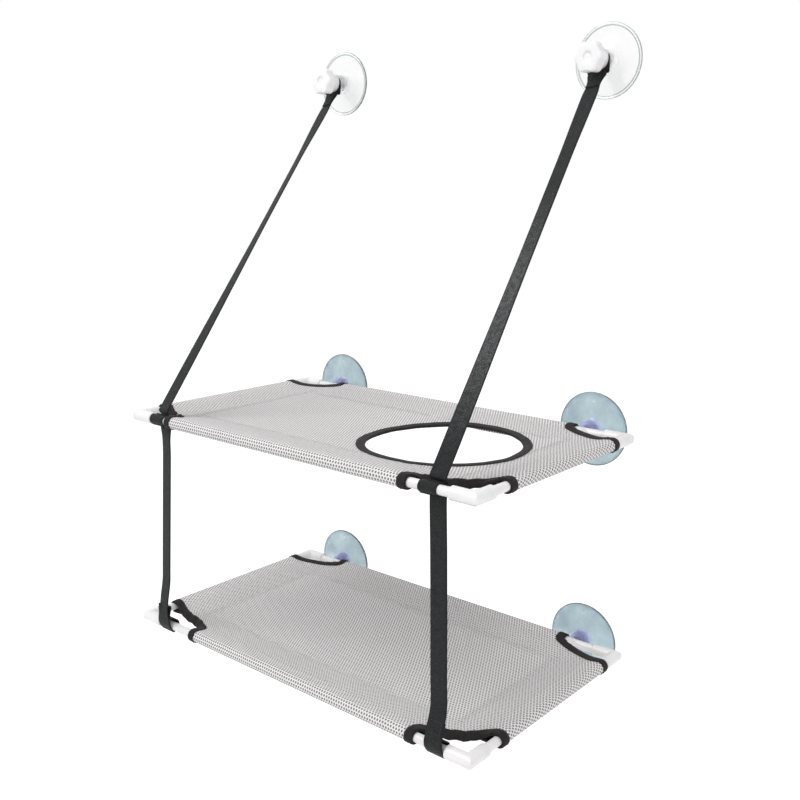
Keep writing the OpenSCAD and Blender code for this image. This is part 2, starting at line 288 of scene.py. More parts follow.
fabric = {
    "thread": (0.95, 0.925, 0.925, 1),
    "threadDim": (0.80, 0.775, 0.778, 1),
    "fuzz": (0.95, 0.94, 0.94, 1),
    # painted shade seen in the mesh's holes
    "hole": (0.17, 0.155, 0.16, 1),
    "pitch": {"Pitch Across": 0.00365, "Pitch Along": 0.00316},
    "relief": 0.0006,
    "show": (0.92, 0.95),   # how strongly the holes' painted shade reads on the flat cloth and on the sleeves, a little stronger on the sleeves
    "skew": 0.42,           # turn of the layer under a hem, in radians
    # painted shade on the doubled hems: its colour, then its share
    "underHem": (0.50, 0.48, 0.485, 1),
    "hemShade": 0.28,
    "wander": 0.0012,
}


def fabricLook(tree, p):
    place = storedPlace(tree)
    drift = vectorCalc("SUBTRACT", noiseOf(place, 55.0, output="Color"), {1: (0.5, 0.5, 0.5)})
    pulled = vectorCalc("ADD", place, {1: vectorCalc("SCALE", drift, {"Scale": p["wander"]})})
    mesh = placeGroup(spacer, pulled, p["pitch"])
    below = placeGroup(spacer, mapped(pulled, (0.0, 0.0, p["skew"])), p["pitch"])
    layers = splitOf(place)[2] * 1000.0
    fuzz = noiseOf(place, 2600.0)
    shade = calc("MULTIPLY_ADD", noiseOf(place, 24.0, 3.0), 0.5, mesh["Knit"] * 0.5)
    tint = blendColours(fuzz * 0.25, blendColours(shade, p["threadDim"], p["thread"]), p["fuzz"])
    doubled = calc("COMPARE", layers, 0.5, 0.2)  # doubled hems: their lower layer shows through the holes, and they take a painted shade
    # painted shade: the thread on the doubled hems is darkened towards underHem
    tint = blendColours(doubled * p["hemShade"], tint, p["underHem"])
    through = calc("MULTIPLY_ADD", below["Hole"], 0.38, 0.66)
    hole = mesh["Hole"] * rampOf(layers, *p["show"], 0.5, 1.0)
    hole = hole * calc("MULTIPLY_ADD", doubled, through - 1.0, 1.0)
    return {
        "Base Color": blendColours(hole, tint, p["hole"]),
        "Roughness": rampOf(mesh["Hole"], 0.72, 0.95),
        "Normal": bumpOf(calc("MULTIPLY_ADD", fuzz, 0.06, mesh["Height"]), p["relief"]),
        "Sheen Weight": 0.2,
        "Sheen Roughness": 0.4,
    }


# Black webbing and binding tape

weaves = {
    "webbing": {"dark": (0.006, 0.007, 0.0075, 1), "light": (0.034, 0.037, 0.038, 1), "yarn": 0.0010,
                "turn": 0.005, "relief": 0.00025, "sheen": 0.04, "rough": 0.60, "shine": 0.18,
                "fleck": (900.0, 0.15, 1.85), "selvage": (0.0082, 0.0093), "faded": (0.200, 0.206, 0.208, 1),
                "rubbed": (0.1993, -0.198, 0.410)},   # centre of the painted sheen, where the upper straps' lower half catches the light
    "bindingTape": {"dark": (0.010, 0.009, 0.0095, 1), "light": (0.050, 0.044, 0.045, 1), "yarn": 0.0007,
                    "turn": 0.0014, "relief": 0.00015, "sheen": 0.08, "rough": 0.75, "shine": 0.15,
                    "fleck": (1500.0, 0.5, 1.3), "selvage": (0.02, 0.03), "faded": (0.050, 0.044, 0.045, 1),
                    "rubbed": (0.0, 0.0, 0.0)},
}


def weaveLook(tree, p):
    place = storedPlace(tree)
    weave = placeGroup(twill, place, {"Yarn": p["yarn"], "Turn": p["turn"]})
    worn, fleck = noiseOf(place, 160.0, 4.0, 0.7), noiseOf(place, p["fleck"][0], 1.0)
    body = rampOf(calc("ABSOLUTE", splitOf(place)[0]), 1.0, 0.25, *p["selvage"])
    # painted sheen: the webbing's light tone turns to faded near rubbed (the tape's faded is its own light tone, so
    # none there)
    away = vectorCalc("DISTANCE", objectPlace(tree), {1: p["rubbed"]}, "Value")
    light = blendColours(rampOf(away, 1.0, 0.0, 0.045, 0.15), p["light"], p["faded"])
    lit = weave["Yarns"] * rampOf(worn, 0.25, 1.0, 0.35, 0.65) * rampOf(fleck, *p["fleck"][1:], 0.35, 0.65)
    return {
        "Base Color": blendColours(lit * body, p["dark"], light),
        "Roughness": calc("MULTIPLY_ADD", weave["Over"], 0.12, p["rough"]),
        "Normal": bumpOf(calc("MULTIPLY_ADD", weave["Over"], 0.4, weave["Yarns"]), p["relief"], 0.8),
        "Specular IOR Level": p["shine"],
        "Sheen Weight": p["sheen"],
        "Sheen Roughness": 0.35,
    }


# Sewing thread

threads = {
    "blackThread": {"dark": (0.010, 0.010, 0.011, 1), "light": (0.05, 0.05, 0.052, 1), "twist": 2200.0},
    "greyThread": {"dark": (0.42, 0.40, 0.405, 1), "light": (0.76, 0.74, 0.745, 1), "twist": 2200.0},
}


def threadLook(tree, p):
    twist = addNode(tree, "ShaderNodeTexWave", {"Vector": objectPlace(tree), "Scale": p["twist"], "Distortion": 1.5},
                    bands_direction="DIAGONAL")["Fac"]
    return {
        "Base Color": blendColours(twist, p["dark"], p["light"]),
        "Roughness": rampOf(twist, 0.45, 0.65),
        "Normal": bumpOf(twist, 0.0001, 0.6),
    }


# Suction cup vinyl. The hub is tinted, so the colour follows the distance from the cup's axis.

vinyls = {
    # line and rings: painted shade, dark rings at the rim; pip: a painted highlight on the pull pip
    "tintedVinyl": {"skirt": (0.61, 0.76, 0.785, 1), "skirtDeep": (0.43, 0.55, 0.62, 1),
                    "hub": (0.50, 0.53, 0.86, 1), "line": (0.16, 0.21, 0.25, 1), "rings": ((0.0424, 0.0007),),
                    "pip": (0.95, 0.98, 0.98, 1), "clear": 0.66, "rough": (0.07, 0.16), "frost": 0.25},
    "clearVinyl": {"skirt": (1.0, 1.0, 1.0, 1), "skirtDeep": (0.975, 0.985, 0.98, 1),
                   "hub": (0.985, 0.985, 0.985, 1), "line": (0.40, 0.46, 0.45, 1),
                   "rings": ((0.0364, 0.0006), (0.0391, 0.0004)), "pip": (0.98, 0.98, 0.98, 1),
                   "clear": 0.90, "rough": (0.05, 0.12), "frost": 0.5},
}


vinylHub = (0.0095, 0.0145)     # radii between which the hub's tint fades out
vinylPip = (0.0, 0.032, 0.0)    # the pull pip's place on the cup
vinylPipR = 0.0022              # and the radius of its painted highlight


def vinylLook(tree, p):
    place = storedPlace(tree)  # across the glass, up it and out of it, from the cup's centre
    x, y, out = splitOf(place)
    flat = addNode(tree, "ShaderNodeCombineXYZ", {0: x, 1: y})[0]
    far = vectorCalc("LENGTH", flat, output="Value")
    marks = marksOn(place, 34.0, 620.0, 0.28)
    hubShare = rampOf(far, 1.0, 0.0, *vinylHub, interpolation_type="SMOOTHSTEP")
    tint = blendColours(hubShare, blendColours(marks["Blotch"], p["skirt"], p["skirtDeep"]), p["hub"])
    for middle, half in p["rings"]:  # painted shade: dark rings at the rim, where refraction darkens the clear rim bead
        tint = blendColours(calc("COMPARE", far, middle, half), tint, p["line"])
    # a painted highlight on the pull pip
    fromPip = vectorCalc("DISTANCE", flat, {1: vinylPip}, "Value")
    rough = calc("MULTIPLY_ADD", hubShare, p["frost"], rampOf(marks["Blotch"], *p["rough"]))
    turned = calc("MULTIPLY_ADD", calc("SINE", far * 2400.0), 0.15, marks["Blotch"])
    return {
        "Base Color": blendColours(calc("LESS_THAN", fromPip, vinylPipR), tint, p["pip"]),
        "Roughness": calc("MULTIPLY_ADD", marks["Scuff"], 0.10, rough),
        "Normal": bumpOf(turned, 0.0002, 0.35),
        "Transmission Weight": p["clear"],
        "IOR": 1.48,
        "Coat Weight": 0.3,
        "Coat Roughness": 0.05,
    }


# Zinc plated studs

steel = {"dark": (0.62, 0.63, 0.66, 1), "light": (0.74, 0.74, 0.75, 1), "blotch": 120.0, "scuff": 900.0,
         "thread": 320.0, "depth": 0.0003}


def steelLook(tree, p):
    place = objectPlace(tree)
    marks = marksOn(place, p["blotch"], p["scuff"], 0.4)
    thread = addNode(tree, "ShaderNodeTexWave", {"Vector": place, "Scale": p["thread"]}, bands_direction="Y")["Fac"]
    return {
        "Base Color": blendColours(marks["Blotch"], p["dark"], p["light"]),
        "Roughness": calc("MULTIPLY_ADD", marks["Scuff"], 0.15, 0.28),
        "Normal": bumpOf(thread, p["depth"], 0.6),
        "Metallic": 1.0,
    }


def makeFinish(name, look, p):
    material = bpy.data.materials.new(name)
    material.use_nodes = True
    tree = material.node_tree
    feed(tree, tree.nodes["Principled BSDF"], look(tree, p))
    return material


finish = {}
for look, kinds in ((plasticLook, plastics), (fabricLook, {"meshFabric": fabric}), (weaveLook, weaves),
                    (threadLook, threads), (vinylLook, vinyls), (steelLook, {"platedSteel": steel})):
    finish.update({name: makeFinish(name, look, p) for name, p in kinds.items()})
print("materials made")


# Mesh helpers

def rework(mesh, edit):
    work = bmesh.new()
    work.from_mesh(mesh)
    edit(work)
    work.to_mesh(mesh)
    work.free()


def newPiece(name, material, points, faces, places=()):
    mesh = bpy.data.meshes.new(name)
    mesh.from_pydata([tuple(p) for p in points], [], faces)
    if places:
        stored = mesh.attributes.new("place", "FLOAT_VECTOR", "POINT")
        stored.data.foreach_set("vector", [c for p in places for c in p])
    mesh.validate()
    rework(mesh, lambda work: bmesh.ops.recalc_face_normals(work, faces=work.faces))
    mesh.polygons.foreach_set("use_smooth", [True] * len(mesh.polygons))
    mesh.materials.append(material)
    piece = bpy.data.objects.new(name, mesh)
    bpy.context.scene.collection.objects.link(piece)
    return piece


# Joins parts, each given as points, faces and stored places
def joined(parts):
    points, faces, places = [], [], []
    for p, f, q in parts:
        faces += [tuple(len(points) + k for k in face) for face in f]
        points += p
        places += q
    return points, faces, places


quarter = math.pi / 2


# Cosine and sine at even steps of a turn
def arcOf(start, turn, count, first=0):
    angles = [start + turn * k / count for k in range(first, count + 1)]
    return [(math.cos(a), math.sin(a)) for a in angles]


def fullTurn(count):
    return arcOf(0.0, 2 * math.pi, count)[:-1]


def ringsOf(count, around):
    return [range(i * around, (i + 1) * around) for i in range(count)]


# Faces between rings of vertices, where a ring of one vertex closes the end
def facesBetween(rings):
    around = max(len(ring) for ring in rings)
    faces = []
    for low, high in pairwise(rings):
        for k in range(around):
            n = (k + 1) % around
            if len(low) == 1:
                faces.append((low[0], high[n], high[k]))
            elif len(high) == 1:
                faces.append((low[k], low[n], high[0]))
            else:
                faces.append((low[k], low[n], high[n], high[k]))
    return faces


# Faces of a tube, its two ends last
def tubeFaces(count, around):
    rings = ringsOf(count, around)
    return facesBetween(rings) + [tuple(reversed(rings[0])), tuple(rings[-1])]


# Rings of (right, up, out) from a centre, which are the stored places too
def turnedParts(centre, rings):
    starts = [0, *accumulate(len(ring) for ring in rings)]
    places = [place for ring in rings for place in ring]
    points = [centre + Vector((x, -out, z)) for x, z, out in places]
    return points, facesBetween([range(a, b) for a, b in pairwise(starts)]), places


def lengthsOf(path):
    return [0.0, *accumulate((b - a).length for a, b in pairwise(path))]


def runAt(path, k):
    return (path[min(len(path) - 1, k + 1)] - path[max(0, k - 1)]).normalized()


# Sweeps a section of (across, out) pairs along stations of (point, across, out, width factor). The
# stored place is (across, along, 0).
def sweep(stations, section):
    points, places = [], []
    for along, (point, across, out, wide) in zip(lengthsOf([s[0] for s in stations]), stations):
        for s, n in section:
            points.append(point + across * (s * wide) + out * n)
            places.append((s * wide, along + n, 0.0))
    return points, tubeFaces(len(stations), len(section)), places


# A stitch: a short thread bowed over the cloth
def stitchParts(start, end, out, radius):
    around, steps = 6, 4
    run = end - start
    side = run.cross(out).normalized()
    points = []
    for t in (i / steps for i in range(steps + 1)):
        lift = math.sin(math.pi * t)
        centre = start + run * t + out * (radius * (1.5 * lift - 0.5))
        size = radius * (0.45 + 0.55 * lift ** 0.5)
        points += [centre + side * (size * c) + out * (size * s) for c, s in fullTurn(around)]
    return points, tubeFaces(steps + 1, around), []


# Stitches along a line of stations, moved across and out from it. The pitch, length and thickness are in
# the dictionary of what is sewn.
def stitchesAlong(stations, across, out, sewn):
    parts, left = [], sewn["pitch"] / 2
    for (a, acrossA, outA, wideA), (b, acrossB, outB, wideB) in pairwise(stations):
        span = (b - a).length
        run = (b - a).normalized()
        while left < span:
            t = left / span
            up = (outA * (1 - t) + outB * t).normalized()
            over = (acrossA * (1 - t) + acrossB * t).normalized()
            centre = a + run * left + over * across + up * out
            half = run * (sewn["stitch"] / 2)
            parts.append(stitchParts(centre - half, centre + half, up, sewn["thread"]))
            left += sewn["pitch"]
        left -= span
    return parts


# Mesh panels: the cloth's middle surface, with a sleeve rolled round each pipe

panel = {
    "thick": 0.0016,
    "gap": 0.0003,      # between the pipe and the sleeve
    "seamIn": 0.047,    # from a pipe's axis in to its sleeve's seam
    "hem": 0.006,       # cloth past the seam, underneath
    # front and rear corner cut-outs: width and depth from the elbow's outer faces, then how far the
    # edge's curve keeps along the front or rear pipe, and out from it
    "cut": {-1: (0.078, 0.050, (1.0, 0.46), (0.54, 0.80)), 1: (0.0715, 0.0365, (0.95, 0.50), (0.50, 0.78))},
    "sag": {"upper": 0.0045, "lower": 0.0055},
    "droop": {-1: 0.0040, 1: 0.0030},   # slack cloth at the front and rear cut-outs
    "droopRise": 0.012,
    "droopReach": 0.065,
    "holeR": 0.087,
    "holeX": 0.104,
    "wrinkle": 0.0007,
    "wrinkleSeed": {"upper": 3.1, "lower": 8.7},
    "lip": 0.0062,      # the front cut-outs' free edge hangs down by this, over lipWide
    "lipWide": 0.0072,
    # how far the front sleeve's ends and the side sleeves' front ends have slid along their pipes, and
    # how far in from a pipe the cloth goes with them: all the way, then fading out
    "slid": {"upper": {"x": (-0.015, -0.006), "y": (-0.009, 0.007)},
             "lower": {"x": (0.014, 0.0055), "y": (-0.007, 0.0045)}},
    "slidOver": (0.008, 0.046),
    "blend": 0.012,     # from a sleeve's look to the flat cloth's
    "hemStep": 0.0012,  # the narrow row of faces past a hem's end
    "mesh": 0.0055,     # length of a face
    "fineMesh": 0.003,
}
holeX, holeR, seamIn = panel["holeX"], panel["holeR"], panel["seamIn"]
hemIn = seamIn + panel["hem"]
rollR = tubeR + panel["gap"] + panel["thick"] / 2
edgeIn = rollR + panel["thick"] / 2    # where the cloth's face leaves the roll, inward of a pipe's axis
clothX = tubeX - edgeIn
sleeveX = {way: halfW - cut[0] for way, cut in panel["cut"].items()}
sleeveY = {way: halfD + elbowR - cut[1] for way, cut in panel["cut"].items()}
hemLean = math.asin(rollR / seamIn)


def smooth01(t):
    t = max(0.0, min(1.0, t))
    return t * t * (3 - 2 * t)


# Height of the top layer at a distance inward of a pipe's axis
def hemHeight(inward):
    if inward <= rollR * math.sin(hemLean):
        return math.sqrt(max(0.0, rollR ** 2 - max(inward, 0.0) ** 2))
    return max(0.0, (seamIn - inward) * math.tan(hemLean))


# A point of a cut-out's edge, from the elbow's outer faces
def cutPoint(t, way):
    roll = elbowR + edgeIn
    w, d, alongX, outY = panel["cut"][way]
    xs = (w, w * alongX[0], w * alongX[1], roll)
    ys = (roll, d * outY[0], d * outY[1], d)
    share = ((1 - t) ** 3, 3 * t * (1 - t) ** 2, 3 * t * t * (1 - t), t ** 3)
    return tuple(sum(s * v for s, v in zip(share, values)) for values in (xs, ys))


frontCut = [(k / 24, *cutPoint(k / 24, -1)) for k in range(25)]


# How far the free edge of a front cut-out hangs down, near that edge
def lipDrop(x, y):
    fromX, fromY = halfW - abs(x), halfD + elbowR - abs(y)
    if y > 0 or fromX > panel["cut"][-1][0] + 0.01 or fromY > panel["cut"][-1][1] + 0.01:
        return 0.0
    away, t = min((math.hypot(fromX - cx, fromY - cy), t) for t, cx, cy in frontCut)
    ends = smooth01(t / 0.3) * smooth01((1 - t) / 0.3)
    return panel["lip"] * ends * max(0.0, 1 - away / panel["lipWide"])


# Where a point of the sewn shape lies once the cloth has slid along its pipes
def laid(tier, x, y, z):
    slid, (hold, fade) = panel["slid"][tier], panel["slidOver"]
    nearFront = 1 - smooth01((halfD + y - hold) / fade)
    nearSide = 1 - smooth01((tubeX - abs(x) - hold) / fade)
    left, right = slid["x"]
    moveX = left + (right - left) * (x / sleeveX[-1] + 1) / 2
    moveY = slid["y"][0 if x < 0 else 1] * max(0.0, 0.5 - y / (2 * sleeveY[-1]))
    return Vector((0, midY, tierZ[tier])) + Vector((x + moveX * nearFront, y + moveY * nearSide, z))


# How far the cloth hangs below its stretched shape, at x, y from the tier's centre
def clothDrop(tier, x, y):
    inX, inY = tubeX - abs(x), halfD - abs(y)
    bowlX = max(0.0, 1 - (x / (tubeX - seamIn + 0.02)) ** 2)
    bowlY = max(0.0, 1 - (y / (halfD - seamIn + 0.02)) ** 2)
    sag = panel["sag"][tier] * math.sqrt(bowlX) * bowlY
    slack = 0.0
    freeX, freeY, rise = inX - edgeIn, inY - edgeIn, panel["droopRise"]
    if freeX > 0 and freeY > 0:
        fade = math.exp(-((freeX + freeY) / panel["droopReach"]) ** 2)
        slack = (freeX / (freeX + rise)) * (freeY / (freeY + rise)) * fade
    seed = panel["wrinkleSeed"][tier]
    ripple = noise.noise(Vector((x * 22, y * 30, seed))) + 0.5 * noise.noise(Vector((x * 60, y * 60, seed)))
    inside = smooth01(min(inX, inY) / 0.03)
    return (sag + 2.6 * panel["droop"][-1 if y < 0 else 1] * slack + lipDrop(x, y)
            - panel["wrinkle"] * ripple * inside)


# Height of the cloth's middle surface above the pipes' plane
def clothHeight(tier, x, y):
    high = 1 - (1 - hemHeight(tubeX - abs(x)) / rollR) * (1 - hemHeight(halfD - abs(y)) / rollR)
    return rollR * high - clothDrop(tier, x, y)


# Height of a sleeve's line at x, y: past the pipe its lower layer hangs with the cloth above it
def sleeveHeight(tier, x, y, inward, height):
    return height - clothDrop(tier, x, y) * smooth01((inward - edgeIn) / (seamIn - edgeIn))


# A sleeve's middle line from the top at edgeIn, round the pipe and back under to the hem's end:
# (inward, height, length from the start)
def sleeveLine(layer):
    under = panel["thick"] * layer
    line = [(inward, hemHeight(inward)) for inward in (edgeIn * (1 - k / 3) for k in range(1, 4))]
    line += [(rollR * c, rollR * s) for c, s in arcOf(quarter, math.pi, 16, 1)]
    for inward in (seamIn * k / 8 for k in range(1, 9)):
        flat = -under + (rollR - under) * -(1 - inward / seamIn)
        line.append((inward, min(-hemHeight(inward), flat)))
    line.append((hemIn, -under))
    made, length, last = [], 0.0, (edgeIn, hemHeight(edgeIn))
    for point in line:
        length += math.dist(point, last)
        made.append((*point, length))
        last = point
    return made


# Even places from mark to mark, each with its own step
def spread(marks, stepOf):
    made = []
    for a, b in pairwise(sorted(marks)):
        count = max(1, round((b - a) / stepOf(a, b)))
        made += [a + (b - a) * k / count for k in range(count)]
    return made


# The cloth's columns: faces end where a hem or the cat hole does
def panelColumns(tier):
    hemEnd, turned = tubeX - hemIn, clothX - panel["blend"]
    pastHem = hemEnd + panel["hemStep"]
    marks = [-clothX, -turned, -pastHem, -hemEnd, hemEnd, pastHem, turned, clothX]
    if tier == "upper":
        marks += [holeX - holeR, holeX + holeR]
    return spread(marks, lambda a, b: panel["fineMesh"] if abs(a + b) / 2 > turned else panel["mesh"]) + [clothX]


# Rows as (y, half width), which follow the cut-outs' edges at both ends
def panelRows(tier):
    cutSteps = 20
    front, rear = ([cutPoint(k / cutSteps, way) for k in range(cutSteps + 1)] for way in (-1, 1))
    hemEnd = halfD - hemIn
    pastHem = hemEnd + panel["hemStep"]
    marks = [-sleeveY[-1], -pastHem, -hemEnd] + [m for m in (hemEnd, pastHem) if m < sleeveY[1]] + [sleeveY[1]]
    if tier == "upper":
        marks += [-holeR, holeR]
    between = spread(marks, lambda a, b: panel["mesh"])[1:]
    return ([(-(halfD + elbowR - y), halfW - x) for x, y in front] + [(y, clothX) for y in between]
            + [(halfD + elbowR - y, halfW - x) for x, y in reversed(rear)])


# Draws the square grid near the cat hole into rings
def holeShift(x, y):
    dx = x - holeX
    reach = max(abs(dx), abs(y))
    outer = holeR + 0.026
    if reach >= outer or reach < 1e-9:
        return x, y
    share = smooth01((reach - holeR) / (outer - holeR))
    factor = (reach / math.hypot(dx, y)) * (1 - share) + share
    return holeX + dx * factor, y * factor


# The third stored value tells the cloth's layers: 0 single, 0.5 doubled by a hem, 1 round a pipe
def layersAt(x, y):
    inward = min(tubeX - abs(x), halfD - abs(y))
    if inward < edgeIn + panel["blend"]:
        return 1 - 0.5 * smooth01((inward - edgeIn) / panel["blend"])
    return 0.5 if inward < hemIn + 0.0003 else 0.0


def makePanel(tier):
    node = tier + "_mesh_panel"
    columns, rows = panelColumns(tier), panelRows(tier)
    points, places, faces, grid = [], [], [], []

    def vertex(x, y, z, place, layers):
        points.append(laid(tier, x, y, z))
        places.append((*place, 0.001 * layers))
        return len(points) - 1

    # rolls a sleeve on from an edge of the cloth, round its pipe and back under
    def rollSleeve(layer, above, placeOf):
        for inward, height, length in sleeveLine(layer):
            below = []
            for k in range(len(above)):
                x, y = placeOf(k, inward)
                z = sleeveHeight(tier, x, y, inward, height)
                below.append(vertex(x, y, z, placeOf(k, edgeIn - length), 1.0))
            faces.extend((*high, low[1], low[0]) for high, low in zip(pairwise(above), pairwise(below)))
            above = below

    for y, limit in rows:
        row = [(column * limit / clothX, y) for column in columns]
        row = [holeShift(*place) for place in row] if tier == "upper" else row
        grid.append([vertex(*place, clothHeight(tier, *place), place, layersAt(*place)) for place in row])
    for i in range(len(rows) - 1):
        for j in range(len(columns) - 1):
            cx, cy = (columns[j] + columns[j + 1]) / 2 - holeX, (rows[i][0] + rows[i + 1][0]) / 2
            if tier == "lower" or max(abs(cx), abs(cy)) >= holeR:
                faces.append((grid[i][j], grid[i][j + 1], grid[i + 1][j + 1], grid[i + 1][j]))
    middle = [i for i, (y, limit) in enumerate(rows) if abs(limit - clothX) < 1e-9]
    for way, row in ((-1, grid[0]), (1, grid[-1])):
        rollSleeve(2, row, lambda k, inward: (columns[k] * sleeveX[way] / clothX, way * (halfD - inward)))
    for way, column in ((-1, 0), (1, -1)):
        edge = [grid[i][column] for i in middle]
        rollSleeve(1, edge, lambda k, inward: (way * (tubeX - inward), rows[middle[k]][0]))
    piece = newPiece(tier + "_mesh_cloth", finish["meshFabric"], points, faces, places)
    solid = piece.modifiers.new("thickness", "SOLIDIFY")
    solid.thickness = panel["thick"]
    solid.offset = 0
    graph = bpy.context.evaluated_depsgraph_get()
    thickened = bpy.data.meshes.new_from_object(piece.evaluated_get(graph))
    piece.modifiers.clear()
    piece.data = thickened
    rework(thickened, lambda work: bmesh.ops.delete(
        work, geom=[v for v in work.verts if not v.link_faces], context="VERTS"))
    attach(piece, tier + "_tier")
    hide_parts(node)
    wrap = sleeveLine(1)[-1][2] - edgeIn
    flatW, flatL = 2 * (tubeX + wrap), 2 * (halfD + wrap)
    body = sum((b[0] - a[0]) * (a[1] + b[1]) for a, b in pairwise(rows))
    sleeves = 2 * (sum(sleeveX.values()) + sum(sleeveY.values())) * (wrap + edgeIn)
    hole = math.pi * holeR ** 2 if tier == "upper" else 0.0
    body + sleeves - hole


for tier in tiers:
    makePanel(tier)
print("mesh panels sewn")


# Binding tape: folded over an edge, with a row of stitches near its inner side

tape = {
    "wide": 0.0085,
    "thick": 0.0006,
    "snug": 0.00035,      # between the tape and the cloth
    "stitchIn": 0.0066,   # from the edge in to the stitches
    "stitch": 0.0024,
    "pitch": 0.0034,
    "thread": 0.00028,
}


# U section: out from the edge is negative across, the cloth lies at positive across
def tapeSection():
    inner = panel["thick"] / 2 + tape["snug"]
    outer = inner + tape["thick"]
    wide = tape["wide"]
    flap = [(wide, inner), (wide + 0.0002, (inner + outer) / 2), (wide, outer)]
    flap += [(wide * k / 4, outer + 0.0001 * math.sin(math.pi * k / 4)) for k in (3, 2, 1)]
    return (flap + [(-outer * c, outer * s) for c, s in arcOf(quarter, -math.pi, 6)]
            + [(x, -y) for x, y in reversed(flap)]
            + [(-inner * c * 0.6, inner * s) for c, s in arcOf(-quarter, math.pi, 4)])


# Stations along a corner's free cloth edge: flap, roll, cut-out curve, roll and flap
def bindingStations(tier, signX, signY):
    def onSleeve(x, y, inward, height):
        return laid(tier, x, y, sleeveHeight(tier, x, y, inward, height))

    def onCloth(x, y):
        return laid(tier, x, y, clothHeight(tier, x, y))

    endX, endY = signX * sleeveX[signY], signY * sleeveY[signY]
    stations = [(onSleeve(endX, signY * (halfD - inward), inward, height), Vector((-signX, 0, 0)))
                for inward, height, length in reversed(sleeveLine(2))]
    steps, ahead = 30, 0.0055    # ahead: how far in on the cloth the tape's lean is taken
    for k in range(steps + 1):
        (ax, ay), (cx, cy), (bx, by) = (cutPoint(max(0, min(steps, n)) / steps, signY) for n in (k - 1, k, k + 1))
        x, y = signX * (halfW - cx), signY * (halfD + elbowR - cy)
        run = Vector((-signX * (bx - ax), -signY * (by - ay), 0)).normalized()
        into = run.cross(Vector((0, 0, 1)))
        if into.dot(Vector((-signX, -signY, 0))) < 0:
            into = -into
        here = onCloth(x, y)
        stations.append((here, (onCloth(x + into.x * ahead, y + into.y * ahead) - here).normalized()))
    stations += [(onSleeve(signX * (tubeX - inward), endY, inward, height), Vector((0, -signY, 0)))
                 for inward, height, length in sleeveLine(1)]
    # the outward side is square to the run and the cloth, and stays on one side all along
    made, line = [], [s[0] for s in stations]
    for k, (point, into) in enumerate(stations):
        run = runAt(line, k)
        into = (into - run * into.dot(run)).normalized()
        out = run.cross(into) * (-signX * signY)
        if not made or (point - made[-1][0]).length > 0.0009:
            made.append((point, into, out.normalized(), 1.0))
    return made


# Stations round the cat hole, the last at the place of the first
def holeStations():
    stations, near = [], tape["wide"]
    for c, s in arcOf(0.0, 2 * math.pi, 180):
        into = Vector((c, s, 0))
        x, y = holeX + holeR * into.x, holeR * into.y
        high = clothHeight("upper", x, y)
        rise = clothHeight("upper", x + into.x * near, y + into.y * near) - high
        across = Vector((into.x, into.y, rise / near)).normalized()
        out = across.cross(Vector((-into.y, into.x, 0))).normalized()
        stations.append((Vector((x, midY + y, tierZ["upper"] + high)), across, out, 1.0))
    return stations


# A tape along the stations, with a row of stitches on each face. A closed one has its ends welded.
def makeTape(name, tier, node, stations, closed=False):
    points, faces, places = sweep(stations, tapeSection())
    piece = newPiece(name, finish["bindingTape"], points, faces[:-2] if closed else faces, places)
    if closed:
        rework(piece.data, lambda work: bmesh.ops.remove_doubles(work, verts=work.verts, dist=0.00002))
        rework(piece.data, lambda work: bmesh.ops.recalc_face_normals(work, faces=work.faces))
    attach(piece, tier + "_tier")
    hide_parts(node)
    top = panel["thick"] / 2 + tape["snug"] + tape["thick"]
    rows = [part for out in (top, -top) for part in stitchesAlong(stations, tape["stitchIn"], out, tape)]
    thread = newPiece(name + "_stitches", finish["blackThread"], *joined(rows))
    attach(thread, tier + "_tier")


for tier in tiers:
    for corner, signs in corners.items():
        makeTape(f"{tier}_{corner}_tape", tier, f"{tier}_binding_{corner}", bindingStations(tier, *signs))
makeTape("cat_hole_tape", "upper", "upper_hole_binding", holeStations(), True)
print("edges bound")


# Hem seams: a double row of stitches on the panels' upper face

seam = {"rows": (0.0, 0.004), "pitch": 0.0040, "stitch": 0.0027, "thread": 0.00032, "dip": 0.0001, "step": 0.006}


def makeHemSeams(tier):
    parts = []
    short = tape["wide"] * 0.5
    for away in (seamIn + inset for inset in seam["rows"]):
        for sign in (-1, 1):
            reachX = sleeveX[sign] - short
            for fixed, low, high, across in (
                    (sign * (halfD - away), -reachX, reachX, Vector((0, 1, 0))),
                    (sign * (tubeX - away), short - sleeveY[-1], sleeveY[1] - short, Vector((1, 0, 0)))):
                count = int((high - low) / seam["step"])
                stations = []
                for m in (low + (high - low) * k / count for k in range(count + 1)):
                    x, y = (m, fixed) if across.y else (fixed, m)
                    if tier == "lower" or math.hypot(x - holeX, y) >= holeR + tape["wide"]:
                        z = clothHeight(tier, x, y) + panel["thick"] / 2
                        stations.append((laid(tier, x, y, z), across, Vector((0, 0, 1)), 1.0))
                parts += stitchesAlong(stations, 0.0, seam["dip"], seam)
    piece = newPiece(tier + "_hem_stitches", finish["greyThread"], *joined(parts))
    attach(piece, tier + "_tier")


for tier in tiers:
    makeHemSeams(tier)
print("hems stitched")


# Webbing straps

